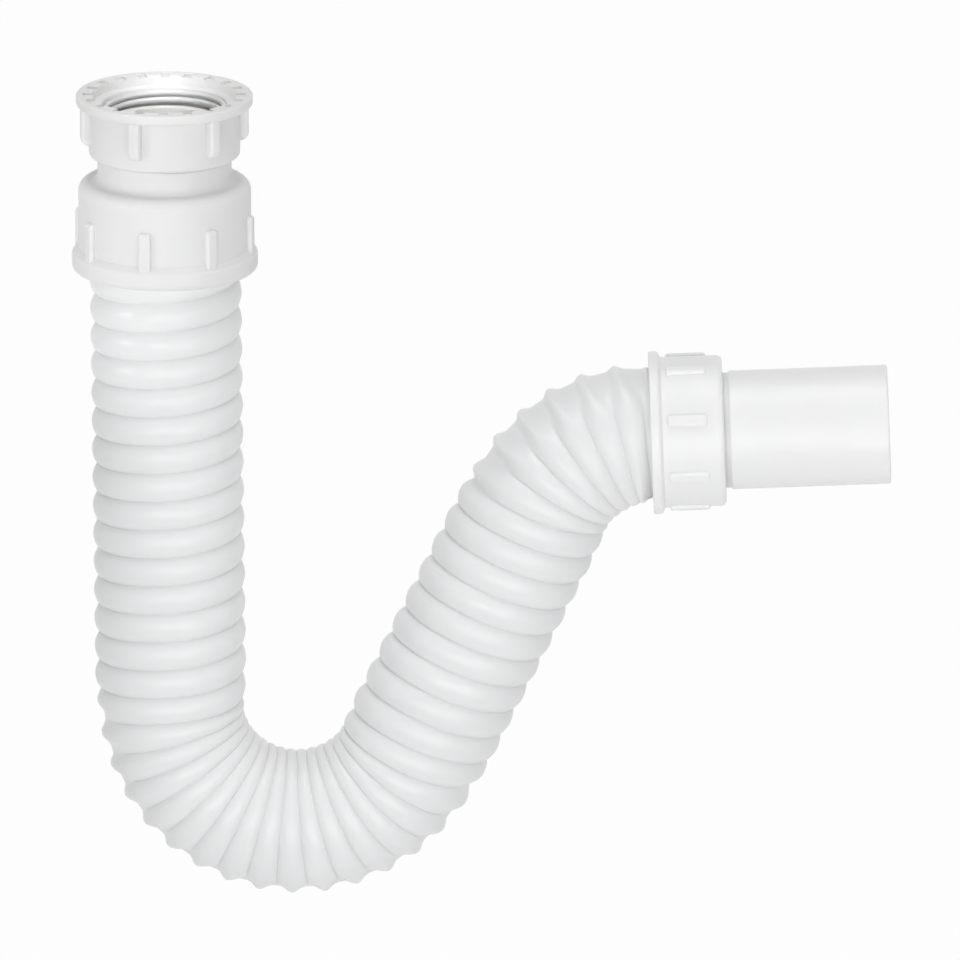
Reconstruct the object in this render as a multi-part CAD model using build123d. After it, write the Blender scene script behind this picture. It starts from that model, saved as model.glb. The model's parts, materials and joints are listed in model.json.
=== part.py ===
from build123d import *
import math
import os

import numpy as np

# Flexible bidet trap, in millimetres. +Z points up out of the inlet nut, +X points to the outlet
# and -Y is the front. Heights below are drawn from the nut's rim, and the finished pieces are then
# raised so that the origin is on the axis of the inlet thread, just inside its first turn.
ORIGIN_BELOW_RIM = 4.0

# Inlet nut: a captive union nut with a G 1 1/4 female thread, modelled at its major diameter
THREAD_MAJOR_R = 41.91 / 2
INLET_NUT_HEIGHT = 21.0
INLET_NUT_BODY_R = 25.4
INLET_NUT_FLANGE_R = 29.65
INLET_NUT_FLANGE = 3.5
INLET_NUT_LIP = 4.2
INLET_NUT_LIP_R = 18.4
MOUTH_R = 24.4
MOUTH_FLOOR_R = 23.3
MOUTH_DEPTH = 2.9
THREAD_CHAMFER = 0.6
THREAD_LENGTH = 5.5
THREAD_RELIEF_R = 21.4
INLET_RIB_COUNT = 6
INLET_RIB_FIRST = -21.3
INLET_RIB_R = 28.4
INLET_RIB_LOW = 4.2
INLET_RIB_END = 3.0
NOTCH_COUNT = 20
NOTCH_RADIAL = 2.0
NOTCH_WIDTH = 3.0
NOTCH_DEPTH = 0.8

# Inlet coupler: collar, tube, neck, shoulder and ribbed hose socket in one moulding
COLLAR_TOP_Z = -11.2
COLLAR_R = 19.2
COLLAR_HEIGHT = 2.4
TUBE_R = 18.0
TUBE_BORE_R = 16.0
NECK_TOP_Z = -21.4
NECK_R = 22.5
NECK_BORE_R = 19.8
NECK_BORE_TOP_Z = -24.0
SHOULDER_Z = -27.2
SHOULDER_COVE = 2.4
SHOULDER_ROUND = 3.6
SOCKET_R = 29.0
SOCKET_BORE_R = 25.7
SOCKET_CEILING_Z = -36.0
SOCKET_LEAD_IN = 1.2
SKIRT_R = 31.25
SKIRT_TOP_Z = -52.4
SKIRT_FLARE = 2.2
SKIRT_BOTTOM_Z = -60.5
SKIRT_EDGE_ROUND = 2.2
SOCKET_RIB_COUNT = 8
SOCKET_RIB_FIRST = -12.5
SOCKET_RIB_R = 30.6
SOCKET_RIB_TOP_Z = -40.6
SOCKET_RIB_END = 1.5

# Flat seals
SEAL_THICKNESS = 2.0
WASHER_R = 19.3
HOSE_SEAL_R = 25.5
HOSE_SEAL_BORE_R = 20.6

# Hose: one blow-moulded tube with a right-handed single-start corrugation.
# Its route is a slightly leaning leg, a return bend, a rising arm, an upper bend and a plain cuff.
HOSE_END_PLAY = 0.3
LEG_LENGTH = 174.0
LEG_LEAN = 0.5
U_RADIUS = 42.5
U_TURN = 153.5
ARM_LENGTH = 99.2
UPPER_RADIUS = 41.4
UPPER_TURN = 61.8
FACE_RUN = 2.0
CUFF_LENGTH = 16.4
CREST_R = 25.5
RIDGE_AT_NUT_R = 24.7
CUFF_R = 23.0
GROOVE_DEPTH = 2.4
GROOVE_AT_NUT = 1.8
HOSE_WALL = 1.0
LEG_PITCH = 9.85
U_PITCH = 7.35
ARM_PITCH = 10.05
UPPER_PITCH = 7.65
FIRST_TURN = 0.88
PITCH_EASE = 10.0
TAPER_LENGTH = 22.0
CUFF_EASE = 5.0
# Grooves narrow into folds where the wall is slack and open into valleys where it is stretched
SLACK_PITCH = 9.9
STRETCHED_PITCH = 11.5
FOLD_PITCH = 8.0
FOLD_SHARPNESS = 0.25
BEND_FLATTENING = 0.05
BANDS_PER_TURN = 6
SECTION_POINTS = 24

# Outlet nut and pipe, measured along the pipe from the nut's open face
OUTLET_NUT_LENGTH = 24.7
OUTLET_NUT_BODY_R = 25.4
OUTLET_NUT_FLANGE_R = 27.4
OUTLET_NUT_FLANGE = 3.0
OUTLET_NUT_FLARE = 1.0
OUTLET_NUT_BORE_R = 23.4
OUTLET_NUT_LIP = 3.0
OUTLET_NUT_ROUND = 2.0
OUTLET_RIB_COUNT = 8
OUTLET_RIB_FIRST = -24.0
OUTLET_RIB_R = 26.6
OUTLET_RIB_START = 5.6
OUTLET_RIB_LENGTH = 13.6
OUTLET_RIB_END = 1.1
PIPE_R = 20.0
PIPE_ROOT_R = 19.4
PIPE_ROOT_SHOWN = 2.0
PIPE_BORE_R = 18.0
PIPE_SHOWN = 55.5
PIPE_COLLAR = 3.0
PIPE_COLLAR_R = 23.0
PIPE_END_ROUND = 0.9

# Shared by all the grip ribs and the loose fits
RIB_WIDTH = 4.2
RIB_EDGE_ROUND = 1.0
RIB_ROOT = 1.2
LOOSE_FIT = 0.3
SMALL_ROUND = 0.5

FRONT_ANGLE = -90.0


def turned(outline):
    """Turns a closed outline of (radius, height) points about Z."""
    points = [(radius, 0, height) for radius, height in outline]
    return revolve(make_face(Polyline(*points, close=True)), Axis.Z)


def circles_at(part, radius, height):
    """The round edges of a turned part that lie at one radius and height."""
    rings = part.edges().filter_by(GeomType.CIRCLE)
    return [e for e in rings if abs(e.radius - radius) < 0.01 and abs(e.center().Z - height) < 0.01]


def ring(outer_radius, bore_radius, low, high):
    """A flat seal about Z."""
    return turned([(bore_radius, low), (outer_radius, low), (outer_radius, high), (bore_radius, high)])


def grip_rib(body_radius, crest_radius, low, high, low_round, high_round):
    """One rib that stands on a round body towards +X, with rounded ends and long edges."""
    root = body_radius - RIB_ROOT
    side = make_face(
        Polyline((root, 0, low), (crest_radius, 0, low), (crest_radius, 0, high), (root, 0, high), close=True)
    )
    for height, size in ((low, low_round), (high, high_round)):
        if size:
            corners = side.vertices().filter_by_position(Axis.X, crest_radius - 0.01, crest_radius + 0.01)
            corner = corners.sort_by(lambda v: abs(v.Z - height))[0]
            side = fillet(corner, size)
    rib = extrude(side, RIB_WIDTH / 2, dir=(0, 1, 0), both=True)
    crest = rib.edges().filter_by(Axis.Z).group_by(Axis.X)[-1]
    return fillet(crest, RIB_EDGE_ROUND)


def around(piece, count, first_angle):
    """Equal copies of a piece about Z."""
    step = 360 / count
    return [Rot(0, 0, first_angle + step * i) * piece for i in range(count)]


def inlet_nut():
    """Union nut with a notched dished mouth and six hanging ribs."""
    bottom = -INLET_NUT_HEIGHT
    thread_top = -MOUTH_DEPTH - THREAD_CHAMFER
    nut = turned(
        [
            (MOUTH_R, 0),
            (INLET_NUT_FLANGE_R, 0),
            (INLET_NUT_FLANGE_R, -INLET_NUT_FLANGE),
            (INLET_NUT_BODY_R, -INLET_NUT_FLANGE),
            (INLET_NUT_BODY_R, bottom),
            (INLET_NUT_LIP_R, bottom),
            (INLET_NUT_LIP_R, bottom + INLET_NUT_LIP),
            (THREAD_RELIEF_R, bottom + INLET_NUT_LIP),
            (THREAD_RELIEF_R, thread_top - THREAD_LENGTH),
            (THREAD_MAJOR_R, thread_top - THREAD_LENGTH),
            (THREAD_MAJOR_R, thread_top),
            (THREAD_MAJOR_R + THREAD_CHAMFER, -MOUTH_DEPTH),
            (MOUTH_FLOOR_R, -MOUTH_DEPTH),
        ]
    )
    nut = fillet(circles_at(nut, INLET_NUT_BODY_R, bottom), 3 * SMALL_ROUND)
    nut = fillet(circles_at(nut, INLET_NUT_FLANGE_R, 0), SMALL_ROUND)
    nut = fillet(circles_at(nut, INLET_NUT_FLANGE_R, -INLET_NUT_FLANGE), 2 * SMALL_ROUND)
    rib = grip_rib(
        INLET_NUT_BODY_R,
        INLET_RIB_R,
        bottom + INLET_RIB_LOW,
        -INLET_NUT_FLANGE + SMALL_ROUND,
        INLET_RIB_END,
        0,
    )
    nut += around(rib, INLET_RIB_COUNT, FRONT_ANGLE + INLET_RIB_FIRST)
    notch = Pos(MOUTH_R + NOTCH_RADIAL / 2, 0, 0) * Box(2 * NOTCH_RADIAL, NOTCH_WIDTH, 2 * NOTCH_DEPTH)
    return nut - around(notch, NOTCH_COUNT, FRONT_ANGLE)


def inlet_washer():
    """Flat seal that lies on the collar inside the inlet nut."""
    return ring(WASHER_R, TUBE_BORE_R, COLLAR_TOP_Z, COLLAR_TOP_Z + SEAL_THICKNESS)


def coupler_outline():
    """Half section of the coupler, with its ogee shoulder as two tangent arcs."""
    tube_top = COLLAR_TOP_Z - COLLAR_HEIGHT
    cove_x = NECK_R + SHOULDER_COVE
    cove_z = SHOULDER_Z - SHOULDER_COVE
    round_x = SOCKET_R - SHOULDER_ROUND
    round_z = cove_z - SHOULDER_ROUND
    arc = math.sqrt(0.5)
    outside = [
        Polyline(
            (TUBE_BORE_R, 0, COLLAR_TOP_Z),
            (COLLAR_R, 0, COLLAR_TOP_Z),
            (COLLAR_R, 0, tube_top),
            (TUBE_R, 0, tube_top),
            (TUBE_R, 0, NECK_TOP_Z),
            (NECK_R, 0, NECK_TOP_Z),
            (NECK_R, 0, SHOULDER_Z),
        ),
        ThreePointArc(
            (NECK_R, 0, SHOULDER_Z),
            (cove_x - SHOULDER_COVE * arc, 0, SHOULDER_Z - SHOULDER_COVE * arc),
            (cove_x, 0, cove_z),
        ),
        Line((cove_x, 0, cove_z), (round_x, 0, cove_z)),
        ThreePointArc(
            (round_x, 0, cove_z),
            (round_x + SHOULDER_ROUND * arc, 0, round_z + SHOULDER_ROUND * arc),
            (SOCKET_R, 0, round_z),
        ),
    ]
    inside = Polyline(
        (SOCKET_R, 0, round_z),
        (SOCKET_R, 0, SKIRT_TOP_Z),
        (SKIRT_R, 0, SKIRT_TOP_Z - SKIRT_FLARE),
        (SKIRT_R, 0, SKIRT_BOTTOM_Z),
        (SOCKET_BORE_R + SOCKET_LEAD_IN, 0, SKIRT_BOTTOM_Z),
        (SOCKET_BORE_R, 0, SKIRT_BOTTOM_Z + SOCKET_LEAD_IN),
        (SOCKET_BORE_R, 0, SOCKET_CEILING_Z),
        (NECK_BORE_R, 0, SOCKET_CEILING_Z),
        (NECK_BORE_R, 0, NECK_BORE_TOP_Z),
        (TUBE_BORE_R, 0, NECK_BORE_TOP_Z + NECK_BORE_R - TUBE_BORE_R),
        (TUBE_BORE_R, 0, COLLAR_TOP_Z),
    )
    return make_face([edge for curve in (*outside, inside) for edge in curve.edges()])


def inlet_coupler():
    """Moulding that the nut turns on and that the hose is screwed into."""
    coupler = revolve(coupler_outline(), Axis.Z)
    coupler = fillet(circles_at(coupler, SKIRT_R, SKIRT_BOTTOM_Z), SKIRT_EDGE_ROUND)
    coupler = fillet(circles_at(coupler, SKIRT_R, SKIRT_TOP_Z - SKIRT_FLARE), 2 * SMALL_ROUND)
    coupler = fillet(circles_at(coupler, NECK_R, NECK_TOP_Z), SMALL_ROUND)
    rib = grip_rib(
        SOCKET_R,
        SOCKET_RIB_R,
        SKIRT_TOP_Z - SKIRT_FLARE,
        SOCKET_RIB_TOP_Z,
        0,
        SOCKET_RIB_END,
    )
    return coupler + around(rib, SOCKET_RIB_COUNT, FRONT_ANGLE + SOCKET_RIB_FIRST)


def hose_seal():
    """Flat seal between the socket's ceiling and the end of the hose."""
    return ring(HOSE_SEAL_R, HOSE_SEAL_BORE_R, SOCKET_CEILING_Z - SEAL_THICKNESS, SOCKET_CEILING_Z)


def hose_runs():
    """The route of the hose as tangent runs in the XZ plane, from the coupler to the outlet."""
    with BuildLine(Plane.XZ):
        top = SOCKET_CEILING_Z - SEAL_THICKNESS - HOSE_END_PLAY
        leg = PolarLine((0, top), LEG_LENGTH, angle=LEG_LEAN - 90)
        u_bend = JernArc(leg @ 1, leg % 1, U_RADIUS, U_TURN)
        arm = PolarLine(u_bend @ 1, ARM_LENGTH, direction=u_bend % 1)
        upper = JernArc(arm @ 1, arm % 1, UPPER_RADIUS, -UPPER_TURN)
        cuff = PolarLine(upper @ 1, FACE_RUN + CUFF_LENGTH, direction=upper % 1)
    return [leg, u_bend, arm, upper, cuff]


class Bellows:
    """The corrugated wall: where each cross-section of the hose lies and how it is shaped."""

    def __init__(self):
        runs = hose_runs()
        self.route = Wire([run.edge() for run in runs])
        lengths = [run.length for run in runs]
        borders = np.cumsum(lengths)[:-2]
        eased = np.ravel([(b - PITCH_EASE, b + PITCH_EASE) for b in borders])
        self.length = sum(lengths)
        self.face = self.length - CUFF_LENGTH
        self.eased = np.array(eased)
        self.bends = np.repeat([0, 1 / U_RADIUS, 0, -1 / UPPER_RADIUS], 2)[1:-1]
        self.pitches = np.repeat([LEG_PITCH, U_PITCH, ARM_PITCH, UPPER_PITCH], 2)[1:-1]
        self.grid = np.linspace(0, self.length, 4001)
        rates = 1 / np.interp(self.grid, self.eased, self.pitches)
        steps = np.diff(self.grid) * (rates[1:] + rates[:-1]) / 2
        self.turns = FIRST_TURN + np.concatenate([[0], np.cumsum(steps)])

    def stations(self):
        """Distances along the route at which the wall is given a cross-section."""
        last = np.interp(self.face + CUFF_EASE, self.grid, self.turns)
        counts = np.arange(self.turns[0], last, 1 / BANDS_PER_TURN)
        marks = np.interp(counts, self.turns, self.grid)
        return [*marks, self.face + CUFF_EASE, self.length]

    def crest(self, station):
        """Radius over the ridges, which shrinks to the plain cuff in the outlet nut."""
        marks = (self.face - TAPER_LENGTH, self.face - CUFF_EASE, self.face)
        return np.interp(station, marks, (CREST_R, RIDGE_AT_NUT_R, CUFF_R))

    def depth(self, station):
        """Depth of the grooves, which fades out at the cuff."""
        marks = (self.face - TAPER_LENGTH, self.face - CUFF_EASE, self.face + CUFF_EASE)
        return np.interp(station, marks, (GROOVE_DEPTH, GROOVE_AT_NUT, 0))

    def radius(self, station, angle):
        """Outer radius of the wall at an angle from the inside of the return bend."""
        bend = np.interp(station, self.eased, self.bends)
        pitch = np.interp(station, self.eased, self.pitches)
        local_pitch = pitch * (1 - bend * CREST_R * math.cos(angle))
        depth = self.depth(station) * min(1, local_pitch / FOLD_PITCH)
        stretch = np.interp(local_pitch, (SLACK_PITCH, STRETCHED_PITCH), (-1, 1))
        phase = 2 * math.pi * np.interp(station, self.grid, self.turns) - angle
        wave = 1 - math.cos(phase) + FOLD_SHARPNESS * stretch * (1 - math.cos(2 * phase))
        flattening = BEND_FLATTENING * abs(bend) * U_RADIUS * math.cos(angle) ** 2
        return (self.crest(station) - depth / 2 * wave) * (1 - flattening)

    def section(self, station, inset):
        """Closed curve of the wall across the route, moved in from the outside by inset."""
        centre = self.route.position_at(station, PositionMode.LENGTH)
        ahead = self.route.tangent_at(station, PositionMode.LENGTH)
        inward = Vector(-ahead.Z, 0, ahead.X)
        front = Vector(0, -1, 0)
        points = []
        for i in range(SECTION_POINTS):
            angle = 2 * math.pi * i / SECTION_POINTS
            reach = self.radius(station, angle) - inset
            points.append(centre + inward * reach * math.cos(angle) + front * reach * math.sin(angle))
        return Edge.make_spline(points, periodic=True)


def hose():
    """Thin corrugated tube: ruled bands between neighbouring sections, outside and inside."""
    bellows = Bellows()
    stations = bellows.stations()
    outer = [bellows.section(s, 0) for s in stations]
    inner = [bellows.section(s, HOSE_WALL) for s in stations]
    faces = []
    for wall in (outer, inner):
        faces += [Face.make_surface_from_curves(a, b) for a, b in zip(wall, wall[1:])]
    for end in (0, -1):
        faces.append(Face(Wire([outer[end]]), [Wire([inner[end]])]))
    return Solid(Shell(faces))


def outlet_frame():
    """Frame of the outlet: Z along the pipe from the nut's open face, X to the front."""
    bellows = Bellows()
    face = bellows.route.position_at(bellows.face, PositionMode.LENGTH)
    ahead = bellows.route.tangent_at(bellows.face, PositionMode.LENGTH)
    return Plane(origin=face, x_dir=(0, -1, 0), z_dir=ahead)


def outlet_nut():
    """Union nut that draws the pipe's collar and the seal against the hose's cuff."""
    lip_start = OUTLET_NUT_LENGTH - OUTLET_NUT_LIP
    nut = turned(
        [
            (OUTLET_NUT_BORE_R + 2 * SMALL_ROUND, 0),
            (OUTLET_NUT_FLANGE_R, 0),
            (OUTLET_NUT_FLANGE_R, OUTLET_NUT_FLANGE),
            (OUTLET_NUT_BODY_R, OUTLET_NUT_FLANGE + OUTLET_NUT_FLARE),
            (OUTLET_NUT_BODY_R, OUTLET_NUT_LENGTH),
            (PIPE_R + LOOSE_FIT, OUTLET_NUT_LENGTH),
            (PIPE_R + LOOSE_FIT, lip_start),
            (OUTLET_NUT_BORE_R, lip_start),
            (OUTLET_NUT_BORE_R, 2 * SMALL_ROUND),
        ]
    )
    nut = fillet(circles_at(nut, OUTLET_NUT_BODY_R, OUTLET_NUT_LENGTH), OUTLET_NUT_ROUND)
    nut = fillet(circles_at(nut, OUTLET_NUT_FLANGE_R, 0), SMALL_ROUND)
    nut = fillet(circles_at(nut, OUTLET_NUT_FLANGE_R, OUTLET_NUT_FLANGE), 2 * SMALL_ROUND)
    rib = grip_rib(
        OUTLET_NUT_BODY_R,
        OUTLET_RIB_R,
        OUTLET_RIB_START,
        OUTLET_RIB_START + OUTLET_RIB_LENGTH,
        OUTLET_RIB_END,
        OUTLET_RIB_END,
    )
    return nut + around(rib, OUTLET_RIB_COUNT, OUTLET_RIB_FIRST)


def outlet_seal():
    """Flat seal between the end of the hose and the pipe's collar."""
    return ring(CUFF_R, PIPE_BORE_R, CUFF_LENGTH, CUFF_LENGTH + SEAL_THICKNESS)


def outlet_pipe():
    """Plain spigot with a collar that the outlet nut holds."""
    collar_start = CUFF_LENGTH + SEAL_THICKNESS
    collar_end = collar_start + PIPE_COLLAR
    root_end = OUTLET_NUT_LENGTH + PIPE_ROOT_SHOWN
    pipe_end = OUTLET_NUT_LENGTH + PIPE_SHOWN
    pipe = turned(
        [
            (PIPE_BORE_R, collar_start),
            (PIPE_COLLAR_R, collar_start),
            (PIPE_COLLAR_R, collar_end),
            (PIPE_ROOT_R, collar_end),
            (PIPE_ROOT_R, root_end),
            (PIPE_R, root_end),
            (PIPE_R, pipe_end),
            (PIPE_BORE_R, pipe_end),
        ]
    )
    pipe = fillet(circles_at(pipe, PIPE_R, pipe_end), PIPE_END_ROUND)
    return fillet(circles_at(pipe, PIPE_BORE_R, pipe_end), SMALL_ROUND)


def whole_trap():
    """Every piece of the trap in place, by name."""
    outlet = outlet_frame().location
    pieces = {
        "inlet_nut": inlet_nut(),
        "inlet_washer": inlet_washer(),
        "inlet_coupler": inlet_coupler(),
        "hose_seal": hose_seal(),
        "hose": hose(),
        "outlet_nut": outlet * outlet_nut(),
        "outlet_seal": outlet * outlet_seal(),
        "outlet_pipe": outlet * outlet_pipe(),
    }
    return {name: Pos(0, 0, ORIGIN_BELOW_RIM) * piece for name, piece in pieces.items()}


os.makedirs("parts", exist_ok=True)
for name, piece in whole_trap().items():
    export_step(piece, f"parts/{name}.step")
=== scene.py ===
"""Dresses the flexible bidet trap: corrugated hose, moulded fittings, pipe, seals and a white studio."""

import json
import logging
import math
from dataclasses import dataclass, field
from enum import Enum
from typing import Any

import bpy
import numpy as np
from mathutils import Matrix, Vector

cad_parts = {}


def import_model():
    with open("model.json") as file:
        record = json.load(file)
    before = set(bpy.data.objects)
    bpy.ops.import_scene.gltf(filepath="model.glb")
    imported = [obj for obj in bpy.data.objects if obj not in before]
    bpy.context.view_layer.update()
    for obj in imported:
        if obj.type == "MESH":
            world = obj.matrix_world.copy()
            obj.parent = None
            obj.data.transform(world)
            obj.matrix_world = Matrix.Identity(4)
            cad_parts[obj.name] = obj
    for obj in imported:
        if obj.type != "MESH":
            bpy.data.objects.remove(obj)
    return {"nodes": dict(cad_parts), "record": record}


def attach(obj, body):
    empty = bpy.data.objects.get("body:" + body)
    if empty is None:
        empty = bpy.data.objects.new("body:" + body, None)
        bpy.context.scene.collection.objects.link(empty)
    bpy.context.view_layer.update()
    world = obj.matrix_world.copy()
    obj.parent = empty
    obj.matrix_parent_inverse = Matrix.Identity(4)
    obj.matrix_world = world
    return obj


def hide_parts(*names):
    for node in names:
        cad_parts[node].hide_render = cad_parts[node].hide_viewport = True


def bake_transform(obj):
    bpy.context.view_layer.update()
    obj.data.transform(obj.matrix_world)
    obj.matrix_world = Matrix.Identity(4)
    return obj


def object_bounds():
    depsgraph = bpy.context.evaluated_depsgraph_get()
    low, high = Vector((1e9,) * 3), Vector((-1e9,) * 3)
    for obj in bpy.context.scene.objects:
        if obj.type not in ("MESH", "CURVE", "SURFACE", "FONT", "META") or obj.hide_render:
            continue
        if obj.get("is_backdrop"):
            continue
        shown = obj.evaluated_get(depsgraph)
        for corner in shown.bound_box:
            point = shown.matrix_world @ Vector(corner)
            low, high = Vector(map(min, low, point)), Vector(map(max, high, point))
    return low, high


LOG = logging.getLogger("bidet_trap")
MM = 0.001
# The side of the part that the photograph shows
FRONT = (0.0, -1.0, 0.0)
HALF_TURN = 0.5
WHITE = (1.0, 1.0, 1.0, 1.0)


class Finish(Enum):
    """The finishes that the trap's pieces can have."""

    FITTING = "fitting"
    HOSE = "hose"
    OUTLET = "outlet"
    SEAL = "seal"


def linear(code: str) -> tuple[float, float, float, float]:
    """Turns an sRGB hex colour into linear RGBA.

    Args:
        code: six hex digits after a hash sign.

    Returns:
        Linear red, green and blue with an alpha of 1.
    """
    channels = [int(code[i : i + 2], 16) / 255 for i in (1, 3, 5)]
    values = [c / 12.92 if c <= 0.04045 else ((c + 0.055) / 1.055) ** 2.4 for c in channels]
    return (*values, 1.0)


def add_node(
    tree: bpy.types.NodeTree, kind: str, settings: dict[str, Any], inputs: dict[Any, Any]
) -> bpy.types.Node:
    """Adds a node to a tree, with its settings and its links.

    Args:
        tree: the tree that gets the node.
        kind: the node's Blender type name.
        settings: attributes of the node.
        inputs: socket index or name to a constant, or to the output socket that feeds it.

    Returns:
        The new node.
    """
    node = tree.nodes.new(kind)
    for name, value in settings.items():
        setattr(node, name, value)
    for key, value in inputs.items():
        if isinstance(value, bpy.types.NodeSocket):
            tree.links.new(value, node.inputs[key])
        else:
            node.inputs[key].default_value = value
    return node


def run_tree(piece: bpy.types.Object, tree: bpy.types.NodeTree, values: dict[str, float]) -> None:
    """Puts a Geometry Nodes tree on a piece and sets its named inputs by their identifiers.

    Args:
        piece: the object that gets the tree.
        tree: the tree.
        values: input name to value.
    """
    modifier = piece.modifiers.new(tree.name, "NODES")
    modifier.node_group = tree
    for item in tree.interface.items_tree:
        if item.in_out == "INPUT" and item.name in values:
            modifier[item.identifier] = values[item.name]


def settle(piece: bpy.types.Object, name: str) -> None:
    """Turns what a piece's modifiers make into its plain mesh.

    Args:
        piece: the object with modifiers.
        name: the plain mesh's name.
    """
    seen = piece.evaluated_get(bpy.context.evaluated_depsgraph_get())
    mesh = bpy.data.meshes.new_from_object(seen)
    piece.modifiers.clear()
    piece.data = mesh
    piece.data.name = name


@dataclass(frozen=True)
class PolymerFinish:
    """A moulded polymer: pale body colour with faint flow marks and a fine skin from the mould.

    Sizes are in millimetres. The grain is drawn coarser than a real mould's so that it shows.
    """

    name: str
    colour: str
    flow_colour: str
    flow_mm: float
    roughness: float
    roughness_spread: float
    grain_mm: float
    grain_height_mm: float
    ior: float
    subsurface: float
    subsurface_mm: float
    flow_detail: float = 3.0
    flow_roughness: float = 0.55
    flow_low: float = 0.3
    flow_high: float = 0.7
    grain_detail: float = 2.0
    grain_strength: float = 0.6
    scatter_tint: tuple[float, float, float] = (1.0, 0.9, 0.8)

    def material(self) -> bpy.types.Material:
        """Builds the material.

        Returns:
            A node material on Object coordinates.
        """
        made = bpy.data.materials.new(self.name)
        made.use_nodes = True
        tree = made.node_tree
        shader = tree.nodes["Principled BSDF"]
        place = add_node(tree, "ShaderNodeTexCoord", {}, {}).outputs["Object"]
        flow = add_node(
            tree,
            "ShaderNodeTexNoise",
            {},
            {
                "Vector": place,
                "Scale": 1 / (self.flow_mm * MM),
                "Detail": self.flow_detail,
                "Roughness": self.flow_roughness,
            },
        )
        tint = add_node(
            tree,
            "ShaderNodeMix",
            {"data_type": "RGBA"},
            {0: flow.outputs[0], 6: linear(self.colour), 7: linear(self.flow_colour)},
        )
        gloss = add_node(
            tree,
            "ShaderNodeMapRange",
            {},
            {
                0: flow.outputs[0],
                1: self.flow_low,
                2: self.flow_high,
                3: self.roughness - self.roughness_spread,
                4: self.roughness + self.roughness_spread,
            },
        )
        grain = add_node(
            tree,
            "ShaderNodeTexNoise",
            {},
            {"Vector": place, "Scale": 1 / (self.grain_mm * MM), "Detail": self.grain_detail},
        )
        bump = add_node(
            tree,
            "ShaderNodeBump",
            {},
            {
                "Height": grain.outputs[0],
                "Distance": self.grain_height_mm * MM,
                "Strength": self.grain_strength,
            },
        )
        tree.links.new(tint.outputs[2], shader.inputs["Base Color"])
        tree.links.new(gloss.outputs[0], shader.inputs["Roughness"])
        tree.links.new(bump.outputs[0], shader.inputs["Normal"])
        shader.inputs["IOR"].default_value = self.ior
        shader.inputs["Subsurface Weight"].default_value = self.subsurface
        shader.inputs["Subsurface Scale"].default_value = self.subsurface_mm * MM
        shader.inputs["Subsurface Radius"].default_value = self.scatter_tint
        return made


FINISHES: dict[Finish, PolymerFinish] = {
    # Injection-moulded polypropylene, textured tool: satin, a little greyer than the hose
    Finish.FITTING: PolymerFinish(
        name="satin_polypropylene",
        colour="#E6E6E6",
        flow_colour="#DFDFDF",
        flow_mm=14.0,
        roughness=0.46,
        roughness_spread=0.06,
        grain_mm=0.55,
        grain_height_mm=0.012,
        ior=1.49,
        subsurface=0.35,
        subsurface_mm=4.0,
    ),
    # Blow-moulded polypropylene: a thin glossy wall that lets a little light through
    Finish.HOSE: PolymerFinish(
        name="glossy_polypropylene",
        colour="#F1F1F1",
        flow_colour="#EBEBEB",
        flow_mm=18.0,
        roughness=0.33,
        roughness_spread=0.03,
        grain_mm=1.6,
        grain_height_mm=0.004,
        ior=1.49,
        subsurface=0.3,
        subsurface_mm=3.0,
    ),
    # Injection-moulded polypropylene from a polished tool: whiter, with a soft gloss
    Finish.OUTLET: PolymerFinish(
        name="polished_polypropylene",
        colour="#F2F2F2",
        flow_colour="#EDEDED",
        flow_mm=22.0,
        roughness=0.34,
        roughness_spread=0.05,
        grain_mm=0.9,
        grain_height_mm=0.010,
        ior=1.49,
        subsurface=0.3,
        subsurface_mm=3.0,
    ),
    # Moulded soft rubber: pale grey and dull
    Finish.SEAL: PolymerFinish(
        name="white_seal_rubber",
        colour="#E0E0DD",
        flow_colour="#D6D6D2",
        flow_mm=6.0,
        roughness=0.62,
        roughness_spread=0.05,
        grain_mm=0.4,
        grain_height_mm=0.02,
        ior=1.5,
        subsurface=0.0,
        subsurface_mm=1.0,
    ),
}


@dataclass
class Workshop:
    """Makes each finish once and puts it on pieces."""

    materials: dict[Finish, bpy.types.Material] = field(init=False)

    def __post_init__(self) -> None:
        """Builds every finish."""
        self.materials = {kind: finish.material() for kind, finish in FINISHES.items()}

    def dress(self, piece: bpy.types.Object, finish: Finish) -> None:
        """Gives a piece one finish all over.

        Args:
            piece: a mesh object.
            finish: the finish that it gets.
        """
        piece.data.materials.clear()
        piece.data.materials.append(self.materials[finish])
        LOG.info("%s is %s", piece.name, FINISHES[finish].name)


@dataclass
class Fittings:
    """The moulded pieces and seals that keep their CAD form."""

    nodes: dict[str, bpy.types.Object]

    def dress(self, workshop: Workshop) -> None:
        """Gives each fitting its finish.

        Args:
            workshop: the maker of the finishes.
        """
        wanted = {
            "inlet_nut": Finish.FITTING,
            "inlet_coupler": Finish.FITTING,
            "inlet_washer": Finish.SEAL,
            "hose_seal": Finish.SEAL,
            "outlet_seal": Finish.SEAL,
            "outlet_nut": Finish.OUTLET,
            "outlet_pipe": Finish.OUTLET,
        }
        for name, finish in wanted.items():
            workshop.dress(self.nodes[name], finish)


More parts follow.
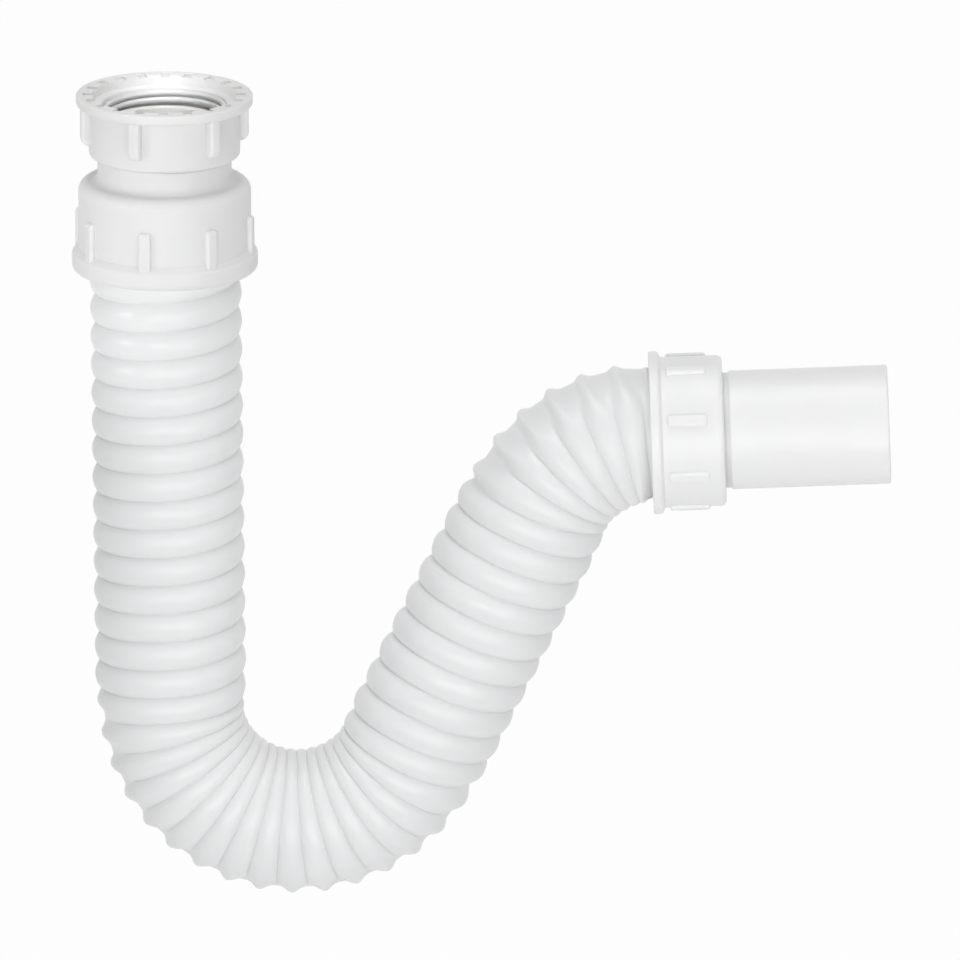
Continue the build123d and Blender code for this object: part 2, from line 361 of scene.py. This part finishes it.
@dataclass
class BellowsHose:
    """The corrugated hose: a helical wave on a route of straight runs and bends.

    Sizes are in millimetres. The route starts at the hose's end in the inlet coupler.
    """

    # Route: leg, return bend, arm, upper bend and cuff
    top_z: float = -34.3
    leg_length: float = 174.0
    leg_lean: float = 0.5
    u_radius: float = 42.5
    u_turn: float = 153.5
    arm_length: float = 99.2
    upper_radius: float = 41.4
    upper_turn: float = 61.8
    face_run: float = 2.0
    cuff_length: float = 16.4
    # Wall: the ridges' radii, the grooves' depths and how they fade into the cuff
    crest_r: float = 25.5
    ridge_at_nut_r: float = 24.7
    cuff_r: float = 23.0
    groove_depth: float = 2.4
    groove_at_nut: float = 1.8
    wall: float = 1.0
    taper_length: float = 22.0
    cuff_ease: float = 5.0
    # Spacing of the coils along the middle of each run
    leg_pitch: float = 9.85
    u_pitch: float = 7.35
    arm_pitch: float = 10.05
    upper_pitch: float = 7.65
    pitch_ease: float = 10.0
    first_turn: float = 0.88
    # Form of a coil: shallow where folded, full and round where slack, a thin leaning ridge where stretched
    fold_pitch: float = 8.0
    slack_pitch: float = 10.4
    stretched_pitch: float = 13.0
    bulge_power: float = 0.28
    ridge_power: float = 4.5
    stretched_depth: float = 0.8
    stretched_skew: float = 0.6
    flattening: float = 0.05
    # Length of the arm that would give way with the upper bend
    flex_lead: float = 14.0
    # Fineness of the mesh
    grid_points: int = 4001
    rows_per_turn: int = 20
    steps_per_row: int = 2
    seam_gap: float = 0.02

    runs: list[tuple[float, float]] = field(init=False)
    borders: np.ndarray = field(init=False)
    length: float = field(init=False)
    face: float = field(init=False)
    eased: np.ndarray = field(init=False)
    bends: np.ndarray = field(init=False)
    pitches: np.ndarray = field(init=False)
    grid: np.ndarray = field(init=False)
    turns: np.ndarray = field(init=False)

    def __post_init__(self) -> None:
        """Works out the runs of the route and the running count of turns."""
        self.runs = [
            (self.leg_length, 0.0),
            (self.u_radius * math.radians(self.u_turn), 1 / self.u_radius),
            (self.arm_length, 0.0),
            (self.upper_radius * math.radians(self.upper_turn), -1 / self.upper_radius),
            (self.face_run + self.cuff_length, 0.0),
        ]
        lengths = [run[0] for run in self.runs]
        self.borders = np.cumsum(lengths)
        self.length = float(self.borders[-1])
        self.face = self.length - self.cuff_length
        self.eased = np.ravel([(b - self.pitch_ease, b + self.pitch_ease) for b in self.borders[:3]])
        self.bends = np.repeat([run[1] for run in self.runs[:4]], 2)[1:-1]
        pitches = [self.leg_pitch, self.u_pitch, self.arm_pitch, self.upper_pitch]
        self.pitches = np.repeat(pitches, 2)[1:-1]
        self.grid = np.linspace(0, self.length, self.grid_points)
        rates = 1 / np.interp(self.grid, self.eased, self.pitches)
        steps = np.diff(self.grid) * (rates[1:] + rates[:-1]) / 2
        self.turns = self.first_turn + np.concatenate([[0], np.cumsum(steps)])

    def place(self, station: float) -> tuple[Vector, float]:
        """Finds a point of the route.

        Args:
            station: distance along the route.

        Returns:
            The point, and the heading in radians, where 0 is straight down and positive turns to +X.
        """
        x, z, heading, left = 0.0, self.top_z, math.radians(self.leg_lean), station
        for length, bend in self.runs:
            step = min(left, length)
            after = heading + bend * step
            if bend:
                x += (math.cos(heading) - math.cos(after)) / bend
                z -= (math.sin(after) - math.sin(heading)) / bend
            else:
                x += step * math.sin(heading)
                z -= step * math.cos(heading)
            heading = after
            left -= step
            if left <= 0:
                break
        return Vector((x, 0.0, z)), heading

    def spine(self) -> bpy.types.Object:
        """Makes the route as a row of points that carry the wave's local sizes.

        Returns:
            A mesh of points only, sampled at equal shares of a turn.
        """
        around = self.rows_per_turn * self.steps_per_row
        start = math.floor(self.first_turn * self.rows_per_turn) / self.rows_per_turn
        count = math.ceil((self.turns[-1] - start) * around) + 1
        turn = start + np.arange(count) / around
        station = np.interp(turn, self.turns, self.grid)
        taper = self.face - self.taper_length
        ease = self.face - self.cuff_ease
        radii = (self.crest_r, self.ridge_at_nut_r, self.cuff_r)
        depths = (self.groove_depth, self.groove_at_nut, 0.0)
        floats = {
            "turn": turn,
            "bend": np.interp(station, self.eased, self.bends) / MM,
            "pitch": np.interp(station, self.eased, self.pitches) * MM,
            "crest": np.interp(station, (taper, ease, self.face), radii) * MM,
            "depth": np.interp(station, (taper, ease, self.face + self.cuff_ease), depths) * MM,
        }
        places = [self.place(float(s)) for s in station]
        mesh = bpy.data.meshes.new("hose_spine")
        mesh.from_pydata([p * MM for p, _ in places], [], [])
        inward = mesh.attributes.new("inward", "FLOAT_VECTOR", "POINT")
        inward.data.foreach_set("vector", [v for _, h in places for v in (math.cos(h), 0.0, math.sin(h))])
        for name, values in floats.items():
            mesh.attributes.new(name, "FLOAT", "POINT").data.foreach_set("value", values)
        made = bpy.data.objects.new("hose", mesh)
        bpy.context.scene.collection.objects.link(made)
        return made

    def sample_spine(
        self, tree: bpy.types.NodeTree, spine: bpy.types.NodeSocket, point: bpy.types.NodeSocket
    ) -> dict[str, bpy.types.NodeSocket]:
        """Reads what the spine carries at one of its points.

        Args:
            tree: the wall's tree.
            spine: the spine's geometry.
            point: the number of the point.

        Returns:
            Each attribute's name to its value, with the point's own place as centre.
        """
        kinds = dict.fromkeys(("turn", "bend", "pitch", "crest", "depth"), "FLOAT")
        kinds["inward"] = "FLOAT_VECTOR"
        sources = {}
        for name, kind in kinds.items():
            stored = add_node(tree, "GeometryNodeInputNamedAttribute", {"data_type": kind}, {"Name": name})
            sources[name] = stored.outputs[0]
        kinds["centre"] = "FLOAT_VECTOR"
        sources["centre"] = add_node(tree, "GeometryNodeInputPosition", {}, {}).outputs[0]
        sampled = {}
        for name, source in sources.items():
            sampled[name] = add_node(
                tree,
                "GeometryNodeSampleIndex",
                {"data_type": kinds[name]},
                {"Geometry": spine, "Value": source, "Index": point},
            ).outputs[0]
        return sampled

    def wave_radius(
        self,
        tree: bpy.types.NodeTree,
        given: bpy.types.NodeOutputs,
        sampled: dict[str, bpy.types.NodeSocket],
        share: bpy.types.NodeSocket,
        cosine: bpy.types.NodeSocket,
    ) -> bpy.types.NodeSocket:
        """Works out the wall's radius from the coil spacing that the bend leaves at that side of the hose.

        Args:
            tree: the wall's tree.
            given: the tree's named inputs.
            sampled: what the spine carries there.
            share: share of the way round the hose, from the bend's inner side.
            cosine: cosine of the angle round the hose.

        Returns:
            The crest's radius, less the groove, less the flattening in a bend.
        """
        lean = add_node(
            tree,
            "ShaderNodeMath",
            {"operation": "MULTIPLY"},
            {0: sampled["bend"], 1: given["Crest Radius"]},
        ).outputs[0]
        closing = add_node(
            tree, "ShaderNodeMath", {"operation": "MULTIPLY"}, {0: lean, 1: cosine}
        ).outputs[0]
        opening = add_node(
            tree, "ShaderNodeMath", {"operation": "SUBTRACT"}, {0: 1.0, 1: closing}
        ).outputs[0]
        local = add_node(
            tree, "ShaderNodeMath", {"operation": "MULTIPLY"}, {0: sampled["pitch"], 1: opening}
        ).outputs[0]
        fold = add_node(
            tree,
            "ShaderNodeMapRange",
            {},
            {"Value": local, 1: 0.0, 2: given["Fold Pitch"], 3: 0.0, 4: 1.0},
        ).outputs[0]
        stretch = {}
        for name, easing, slack, stretched in (
            ("power", "SMOOTHSTEP", given["Bulge Power"], given["Ridge Power"]),
            ("skew", "SMOOTHSTEP", 1.0, given["Stretched Skew"]),
            ("depth", "LINEAR", 1.0, given["Stretched Depth"]),
        ):
            stretch[name] = add_node(
                tree,
                "ShaderNodeMapRange",
                {"interpolation_type": easing},
                {
                    "Value": local,
                    1: given["Slack Pitch"],
                    2: given["Stretched Pitch"],
                    3: slack,
                    4: stretched,
                },
            ).outputs[0]
        turned = add_node(
            tree, "ShaderNodeMath", {"operation": "SUBTRACT"}, {0: sampled["turn"], 1: share}
        ).outputs[0]
        shifted = add_node(
            tree, "ShaderNodeMath", {"operation": "ADD"}, {0: turned, 1: HALF_TURN}
        ).outputs[0]
        across = add_node(tree, "ShaderNodeMath", {"operation": "FRACT"}, {0: shifted}).outputs[0]
        skewed = add_node(
            tree, "ShaderNodeMath", {"operation": "POWER"}, {0: across, 1: stretch["skew"]}
        ).outputs[0]
        phase = add_node(
            tree, "ShaderNodeMath", {"operation": "MULTIPLY"}, {0: skewed, 1: math.tau}
        ).outputs[0]
        swing = add_node(tree, "ShaderNodeMath", {"operation": "COSINE"}, {0: phase}).outputs[0]
        height = add_node(
            tree, "ShaderNodeMapRange", {}, {"Value": swing, 1: 1.0, 2: -1.0, 3: 0.0, 4: 1.0}
        ).outputs[0]
        shaped = add_node(
            tree, "ShaderNodeMath", {"operation": "POWER"}, {0: height, 1: stretch["power"]}
        ).outputs[0]
        sunk = add_node(
            tree, "ShaderNodeMath", {"operation": "SUBTRACT"}, {0: 1.0, 1: shaped}
        ).outputs[0]
        folded = add_node(
            tree, "ShaderNodeMath", {"operation": "MULTIPLY"}, {0: stretch["depth"], 1: fold}
        ).outputs[0]
        depth = add_node(
            tree, "ShaderNodeMath", {"operation": "MULTIPLY"}, {0: sampled["depth"], 1: folded}
        ).outputs[0]
        groove = add_node(
            tree, "ShaderNodeMath", {"operation": "MULTIPLY"}, {0: depth, 1: sunk}
        ).outputs[0]
        round_r = add_node(
            tree, "ShaderNodeMath", {"operation": "SUBTRACT"}, {0: sampled["crest"], 1: groove}
        ).outputs[0]
        strength = add_node(
            tree, "ShaderNodeMath", {"operation": "ABSOLUTE"}, {0: sampled["bend"]}
        ).outputs[0]
        squeeze = add_node(
            tree, "ShaderNodeMath", {"operation": "MULTIPLY"}, {0: strength, 1: given["Flattening"]}
        ).outputs[0]
        squared = add_node(
            tree, "ShaderNodeMath", {"operation": "MULTIPLY"}, {0: cosine, 1: cosine}
        ).outputs[0]
        loss = add_node(
            tree, "ShaderNodeMath", {"operation": "MULTIPLY"}, {0: squeeze, 1: squared}
        ).outputs[0]
        kept = add_node(tree, "ShaderNodeMath", {"operation": "SUBTRACT"}, {0: 1.0, 1: loss}).outputs[0]
        return add_node(tree, "ShaderNodeMath", {"operation": "MULTIPLY"}, {0: round_r, 1: kept}).outputs[0]

    def wall_tree(self, material: bpy.types.Material) -> bpy.types.NodeTree:
        """Builds the Geometry Nodes tree that wraps the helical wall round the spine.

        Each row of the wall keeps one phase of the wave, so ridges and grooves lie on mesh lines.

        Args:
            material: the finish of the wall.

        Returns:
            The tree, with its sizes as named inputs.
        """
        tree = bpy.data.node_groups.new("corrugated_wall", "GeometryNodeTree")
        face = tree.interface
        face.new_socket("Spine", in_out="INPUT", socket_type="NodeSocketGeometry")
        for name in ("Rows", "Around", "Steps per Row", "Last Point"):
            face.new_socket(name, in_out="INPUT", socket_type="NodeSocketInt")
        for name in (
            "Crest Radius",
            "Fold Pitch",
            "Slack Pitch",
            "Stretched Pitch",
            "Bulge Power",
            "Ridge Power",
            "Stretched Depth",
            "Stretched Skew",
            "Flattening",
            "Seam Gap",
        ):
            face.new_socket(name, in_out="INPUT", socket_type="NodeSocketFloat")
        face.new_socket("Wall", in_out="OUTPUT", socket_type="NodeSocketGeometry")
        given = add_node(tree, "NodeGroupInput", {}, {}).outputs
        columns = add_node(
            tree, "ShaderNodeMath", {"operation": "ADD"}, {0: given["Around"], 1: 1.0}
        ).outputs[0]
        sheet = add_node(
            tree,
            "GeometryNodeMeshGrid",
            {},
            {"Vertices X": given["Rows"], "Vertices Y": columns},
        ).outputs["Mesh"]
        index = add_node(tree, "GeometryNodeInputIndex", {}, {}).outputs[0]
        ratio = add_node(
            tree, "ShaderNodeMath", {"operation": "DIVIDE"}, {0: index, 1: columns}
        ).outputs[0]
        row = add_node(tree, "ShaderNodeMath", {"operation": "FLOOR"}, {0: ratio}).outputs[0]
        column = add_node(
            tree, "ShaderNodeMath", {"operation": "MODULO"}, {0: index, 1: columns}
        ).outputs[0]
        stepped = add_node(
            tree,
            "ShaderNodeMath",
            {"operation": "MULTIPLY_ADD"},
            {0: row, 1: given["Steps per Row"], 2: column},
        ).outputs[0]
        ahead = add_node(
            tree, "ShaderNodeMath", {"operation": "SUBTRACT"}, {0: stepped, 1: given["Around"]}
        ).outputs[0]
        point = add_node(
            tree,
            "ShaderNodeClamp",
            {},
            {"Value": ahead, "Min": 0.0, "Max": given["Last Point"]},
        ).outputs[0]
        sampled = self.sample_spine(tree, given["Spine"], point)
        share = add_node(
            tree, "ShaderNodeMath", {"operation": "DIVIDE"}, {0: column, 1: given["Around"]}
        ).outputs[0]
        angle = add_node(
            tree, "ShaderNodeMath", {"operation": "MULTIPLY"}, {0: share, 1: math.tau}
        ).outputs[0]
        cosine = add_node(tree, "ShaderNodeMath", {"operation": "COSINE"}, {0: angle}).outputs[0]
        sine = add_node(tree, "ShaderNodeMath", {"operation": "SINE"}, {0: angle}).outputs[0]
        radius = self.wave_radius(tree, given, sampled, share, cosine)
        reach_in = add_node(
            tree, "ShaderNodeMath", {"operation": "MULTIPLY"}, {0: radius, 1: cosine}
        ).outputs[0]
        reach_front = add_node(
            tree, "ShaderNodeMath", {"operation": "MULTIPLY"}, {0: radius, 1: sine}
        ).outputs[0]
        along = add_node(
            tree,
            "ShaderNodeVectorMath",
            {"operation": "MULTIPLY_ADD"},
            {0: sampled["inward"], 1: reach_in, 2: sampled["centre"]},
        ).outputs[0]
        forward = add_node(
            tree, "ShaderNodeVectorMath", {"operation": "SCALE"}, {0: FRONT, "Scale": reach_front}
        ).outputs[0]
        spot = add_node(
            tree, "ShaderNodeVectorMath", {"operation": "ADD"}, {0: along, 1: forward}
        ).outputs[0]
        shell = add_node(
            tree, "GeometryNodeSetPosition", {}, {"Geometry": sheet, "Position": spot}
        ).outputs[0]
        closed = add_node(
            tree, "GeometryNodeMergeByDistance", {}, {"Geometry": shell, "Distance": given["Seam Gap"]}
        ).outputs[0]
        outward = add_node(tree, "GeometryNodeFlipFaces", {}, {"Mesh": closed}).outputs[0]
        smooth = add_node(tree, "GeometryNodeSetShadeSmooth", {}, {"Geometry": outward}).outputs[0]
        real = add_node(tree, "GeometryNodeRealizeInstances", {}, {"Geometry": smooth}).outputs[0]
        dressed = add_node(
            tree, "GeometryNodeSetMaterial", {}, {"Geometry": real, "Material": material}
        ).outputs[0]
        add_node(tree, "NodeGroupOutput", {}, {"Wall": dressed})
        return tree

    def build(self, material: bpy.types.Material) -> bpy.types.Object:
        """Makes the hose as one closed thin-walled mesh.

        Args:
            material: the finish of the wall.

        Returns:
            The finished hose object.
        """
        hose = self.spine()
        points = len(hose.data.vertices)
        around = self.rows_per_turn * self.steps_per_row
        rows = math.ceil((points + around) / self.steps_per_row) + 1
        values = {
            "Rows": rows,
            "Around": around,
            "Steps per Row": self.steps_per_row,
            "Last Point": points - 1,
            "Crest Radius": self.crest_r * MM,
            "Fold Pitch": self.fold_pitch * MM,
            "Slack Pitch": self.slack_pitch * MM,
            "Stretched Pitch": self.stretched_pitch * MM,
            "Bulge Power": self.bulge_power,
            "Ridge Power": self.ridge_power,
            "Stretched Depth": self.stretched_depth,
            "Stretched Skew": self.stretched_skew,
            "Flattening": self.flattening * self.u_radius * MM,
            "Seam Gap": self.seam_gap * MM,
        }
        run_tree(hose, self.wall_tree(material), values)
        thick = hose.modifiers.new("wall", "SOLIDIFY")
        thick.thickness = self.wall * MM
        thick.offset = -1.0
        thick.use_rim = True
        settle(hose, "hose_wall")
        LOG.info("hose wall has %d faces on %.0f mm of route", len(hose.data.polygons), self.length)
        return hose

    def fit(self, hose: bpy.types.Object) -> None:
        """Puts the hose in the CAD hose's place, hiding the CAD hose.

        Args:
            hose: the finished hose object.
        """
        bend_start, _ = self.place(float(self.borders[2]))
        bend_end, _ = self.place(float(self.borders[3]))
        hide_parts("hose")
        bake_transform(hose)


@dataclass
class InletThread:
    """The G 1 1/4 pipe thread in the inlet nut: one helical ridge on the plain bore.

    Sizes are in millimetres. Heights are in the frame's Z.
    """

    bore_r: float
    minor_r: float = 38.95 / 2
    pitch: float = 2.309
    top_z: float = 0.1
    length: float = 5.0
    crest_share: float = 0.2
    root_share: float = 0.8
    root_sink: float = 0.1
    facets_per_turn: int = 120

    def ridge_tree(self, material: bpy.types.Material) -> bpy.types.NodeTree:
        """Builds the Geometry Nodes tree that sweeps the ridge along its helix.

        Args:
            material: the finish of the ridge.

        Returns:
            The tree, with its sizes as named inputs.
        """
        tree = bpy.data.node_groups.new("pipe_thread", "GeometryNodeTree")
        face = tree.interface
        face.new_socket("Blank", in_out="INPUT", socket_type="NodeSocketGeometry")
        for name in ("Turns", "Radius", "Rise", "Root Width", "Crest Width", "Height"):
            face.new_socket(name, in_out="INPUT", socket_type="NodeSocketFloat")
        face.new_socket("Facets per Turn", in_out="INPUT", socket_type="NodeSocketInt")
        face.new_socket("Thread", in_out="OUTPUT", socket_type="NodeSocketGeometry")
        given = add_node(tree, "NodeGroupInput", {}, {}).outputs
        helix = add_node(
            tree,
            "GeometryNodeCurveSpiral",
            {},
            {
                "Resolution": given["Facets per Turn"],
                "Rotations": given["Turns"],
                "Start Radius": given["Radius"],
                "End Radius": given["Radius"],
                "Height": given["Rise"],
            },
        ).outputs[0]
        upright = add_node(
            tree, "GeometryNodeSetCurveNormal", {"mode": "Z_UP"}, {"Curve": helix}
        ).outputs[0]
        profile = add_node(
            tree,
            "GeometryNodeCurvePrimitiveQuadrilateral",
            {"mode": "TRAPEZOID"},
            {
                "Bottom Width": given["Root Width"],
                "Top Width": given["Crest Width"],
                "Height": given["Height"],
                "Offset": 0.0,
            },
        ).outputs[0]
        quarter = add_node(
            tree,
            "GeometryNodeTransform",
            {},
            {"Geometry": profile, "Rotation": (0.0, 0.0, math.pi / 2)},
        ).outputs[0]
        ridge = add_node(
            tree,
            "GeometryNodeCurveToMesh",
            {},
            {"Curve": upright, "Profile Curve": quarter, "Fill Caps": True},
        ).outputs[0]
        real = add_node(tree, "GeometryNodeRealizeInstances", {}, {"Geometry": ridge}).outputs[0]
        dressed = add_node(
            tree, "GeometryNodeSetMaterial", {}, {"Geometry": real, "Material": material}
        ).outputs[0]
        add_node(tree, "NodeGroupOutput", {}, {"Thread": dressed})
        return tree

    def build(self, material: bpy.types.Material) -> bpy.types.Object:
        """Makes the ridge and lets it turn with the inlet nut.

        Args:
            material: the finish of the ridge.

        Returns:
            The finished ridge object.
        """
        blank = bpy.data.meshes.new("inlet_thread")
        thread = bpy.data.objects.new("inlet_thread", blank)
        bpy.context.scene.collection.objects.link(thread)
        height = self.bore_r + self.root_sink - self.minor_r
        values = {
            "Turns": self.length / self.pitch,
            "Radius": (self.minor_r + height / 2) * MM,
            "Rise": self.length * MM,
            "Root Width": self.root_share * self.pitch * MM,
            "Crest Width": self.crest_share * self.pitch * MM,
            "Height": height * MM,
            "Facets per Turn": self.facets_per_turn,
        }
        run_tree(thread, self.ridge_tree(material), values)
        settle(thread, "inlet_thread")
        for vertex in thread.data.vertices:
            vertex.co.z += (self.top_z - self.length) * MM
        reach = [v.co.xy.length / MM for v in thread.data.vertices]
        LOG.info("inlet thread runs from %.2f to %.2f mm radius", min(reach), max(reach))
        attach(thread, "inlet_nut")
        return thread


@dataclass(frozen=True)
class SoftLamp:
    """A square soft light that faces the object. It stands at place from the object's middle, in metres."""

    name: str
    place: tuple[float, float, float]
    side: float
    watts: float
    on_diffuse: bool = True


@dataclass(frozen=True)
class Beam:
    """A narrow soft-edged beam: place and aim in the part's frame, in metres, and its cone in degrees."""

    name: str
    place: tuple[float, float, float]
    aim: tuple[float, float, float]
    cone: float
    watts: float
    edge: float = 1.0
    lens_r: float = 0.015


LAMPS = (
    # Broad and low in front, so that the undersides of the coils stay pale
    SoftLamp("key", place=(-0.4, -1.8, -0.25), side=1.0, watts=15.5),
    # Overhead, for the tops of the coils and of the pipe
    SoftLamp("top", place=(0.05, -0.15, 1.7), side=1.0, watts=7.5),
    # Broad, on the right, for the arm and the outlet
    SoftLamp("fill", place=(0.9, -1.7, -0.05), side=1.0, watts=7.5),
    # Small and near, seen only as the glints on the coils
    SoftLamp("sparkle", place=(0.2, -0.65, -0.24), side=0.16, watts=0.6, on_diffuse=False),
)
BEAMS = (
    # Down through the inlet's mouth onto its back wall
    Beam("mouth_beam", place=(-0.05, -0.9, 0.75), aim=(0.0, 0.0195, -0.007), cone=1.6, watts=75.0),
    # From the left, along the neck and the coupler
    Beam("inlet_beam", place=(-1.55, -0.75, 0.1), aim=(0.0, 0.0, -0.045), cone=5.0, watts=24.0),
)


@dataclass
class Studio:
    """White sweep, soft lights and a long lens at the photograph's angle. Sizes are in metres."""

    target: tuple[float, float, float] = (0.1058, 0.0, -0.1306)
    distance: float = 8.0
    elevation: float = 16.0
    pixels_per_mm: float = 2.97
    frame_pixels: float = 960.0
    sensor_mm: float = 36.0
    clip_end: float = 50.0
    floor_drop: float = 0.16
    floor_size: float = 40.0
    floor_colour: str = "#EEEEEE"
    floor_roughness: float = 0.9
    floor_glow: float = 0.96
    ambient: float = 0.52

    def camera(self) -> None:
        """Sets the camera by the scale that the photograph shows."""
        lens = bpy.data.cameras.new("camera")
        lens.sensor_width = self.sensor_mm
        lens.lens = self.pixels_per_mm / MM * self.distance * lens.sensor_width / self.frame_pixels
        lens.clip_end = self.clip_end
        eye = bpy.data.objects.new("camera", lens)
        tilt = math.radians(self.elevation)
        aim = Vector(self.target)
        eye.location = aim + self.distance * Vector((0.0, -math.cos(tilt), math.sin(tilt)))
        eye.rotation_euler = (aim - eye.location).to_track_quat("-Z", "Y").to_euler()
        bpy.context.scene.collection.objects.link(eye)
        bpy.context.scene.camera = eye
        LOG.info("camera looks down by %.0f degrees", self.elevation)

    def hang(self, light: bpy.types.Light, place: Vector, aim: Vector) -> bpy.types.Object:
        """Puts a light in the studio.

        Args:
            light: the light.
            place: where it stands.
            aim: where it points.

        Returns:
            The light's object.
        """
        made = bpy.data.objects.new(light.name, light)
        made.location = place
        made.rotation_euler = (aim - made.location).to_track_quat("-Z", "Y").to_euler()
        bpy.context.scene.collection.objects.link(made)
        LOG.info("%s gives %.1f W", light.name, light.energy)
        return made

    def lights(self) -> None:
        """Sets the broad lights, the sparkle and the beams on the inlet."""
        middle = Vector(self.target)
        for lamp in LAMPS:
            light = bpy.data.lights.new(lamp.name, "AREA")
            light.size = lamp.side
            light.energy = lamp.watts
            made = self.hang(light, middle + Vector(lamp.place), middle)
            made.visible_diffuse = lamp.on_diffuse
        for beam in BEAMS:
            light = bpy.data.lights.new(beam.name, "SPOT")
            light.energy = beam.watts
            light.spot_size = math.radians(beam.cone)
            light.spot_blend = beam.edge
            light.shadow_soft_size = beam.lens_r
            self.hang(light, Vector(beam.place), Vector(beam.aim))

    def white_for_camera(self, tree: bpy.types.NodeTree) -> bpy.types.NodeSocket:
        """Finds whether a ray should meet plain white.

        Args:
            tree: a shader tree.

        Returns:
            A socket that is 1 for camera, glossy and transmission rays.
        """
        path = add_node(tree, "ShaderNodeLightPath", {}, {}).outputs
        mirror = add_node(
            tree,
            "ShaderNodeMath",
            {"operation": "MAXIMUM"},
            {0: path["Is Glossy Ray"], 1: path["Is Transmission Ray"]},
        ).outputs[0]
        return add_node(
            tree, "ShaderNodeMath", {"operation": "MAXIMUM"}, {0: path["Is Camera Ray"], 1: mirror}
        ).outputs[0]

    def world(self) -> None:
        """White behind the object, and an even grey light on it."""
        made = bpy.data.worlds.new("studio")
        made.use_nodes = True
        bpy.context.scene.world = made
        tree = made.node_tree
        shown = self.white_for_camera(tree)
        strength = add_node(
            tree, "ShaderNodeMapRange", {}, {"Value": shown, 1: 0.0, 2: 1.0, 3: self.ambient, 4: 1.0}
        ).outputs[0]
        ground = tree.nodes["Background"]
        ground.inputs["Color"].default_value = WHITE
        tree.links.new(strength, ground.inputs["Strength"])

    def floor(self, lowest: float) -> None:
        """Lays a pale floor under the trap, which hangs from its inlet.

        Args:
            lowest: height of the object's lowest point.
        """
        half = self.floor_size / 2
        mesh = bpy.data.meshes.new("floor")
        corners = [(-half, -half), (half, -half), (half, half), (-half, half)]
        mesh.from_pydata([(x, y, lowest - self.floor_drop) for x, y in corners], [], [(0, 1, 2, 3)])
        made = bpy.data.objects.new("floor", mesh)
        bpy.context.scene.collection.objects.link(made)
        paint = bpy.data.materials.new("white_studio_floor")
        paint.use_nodes = True
        tree = paint.node_tree
        shader = tree.nodes["Principled BSDF"]
        shader.inputs["Base Color"].default_value = linear(self.floor_colour)
        shader.inputs["Roughness"].default_value = self.floor_roughness
        glow = add_node(tree, "ShaderNodeEmission", {}, {"Strength": 1.0})
        share = add_node(
            tree,
            "ShaderNodeMath",
            {"operation": "MULTIPLY"},
            {0: self.white_for_camera(tree), 1: self.floor_glow},
        )
        mixed = add_node(
            tree,
            "ShaderNodeMixShader",
            {},
            {0: share.outputs[0], 1: shader.outputs[0], 2: glow.outputs[0]},
        )
        tree.links.new(mixed.outputs[0], tree.nodes["Material Output"].inputs["Surface"])
        made.data.materials.append(paint)
        made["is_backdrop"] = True
        LOG.info("floor lies at %.3f m", lowest - self.floor_drop)

    def build(self, lowest: float) -> None:
        """Sets up the whole studio.

        Args:
            lowest: height of the object's lowest point.
        """
        self.camera()
        self.lights()
        self.world()
        self.floor(lowest)
        bpy.context.scene.view_settings.view_transform = "Standard"


def main() -> None:
    """Builds the pieces in order and reports each one."""
    logging.basicConfig(level=logging.INFO, format="%(message)s")
    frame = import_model()
    cad_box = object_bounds()
    workshop = Workshop()
    Fittings(frame["nodes"]).dress(workshop)
    bellows = BellowsHose()
    hose = bellows.build(workshop.materials[Finish.HOSE])
    bellows.fit(hose)
    bore_r = frame["record"]["mounts"][0]["dims"]["r_mm"]
    InletThread(bore_r=bore_r).build(workshop.materials[Finish.FITTING])
    Studio().build(cad_box[0][2])


if __name__ == "__main__":
    main()
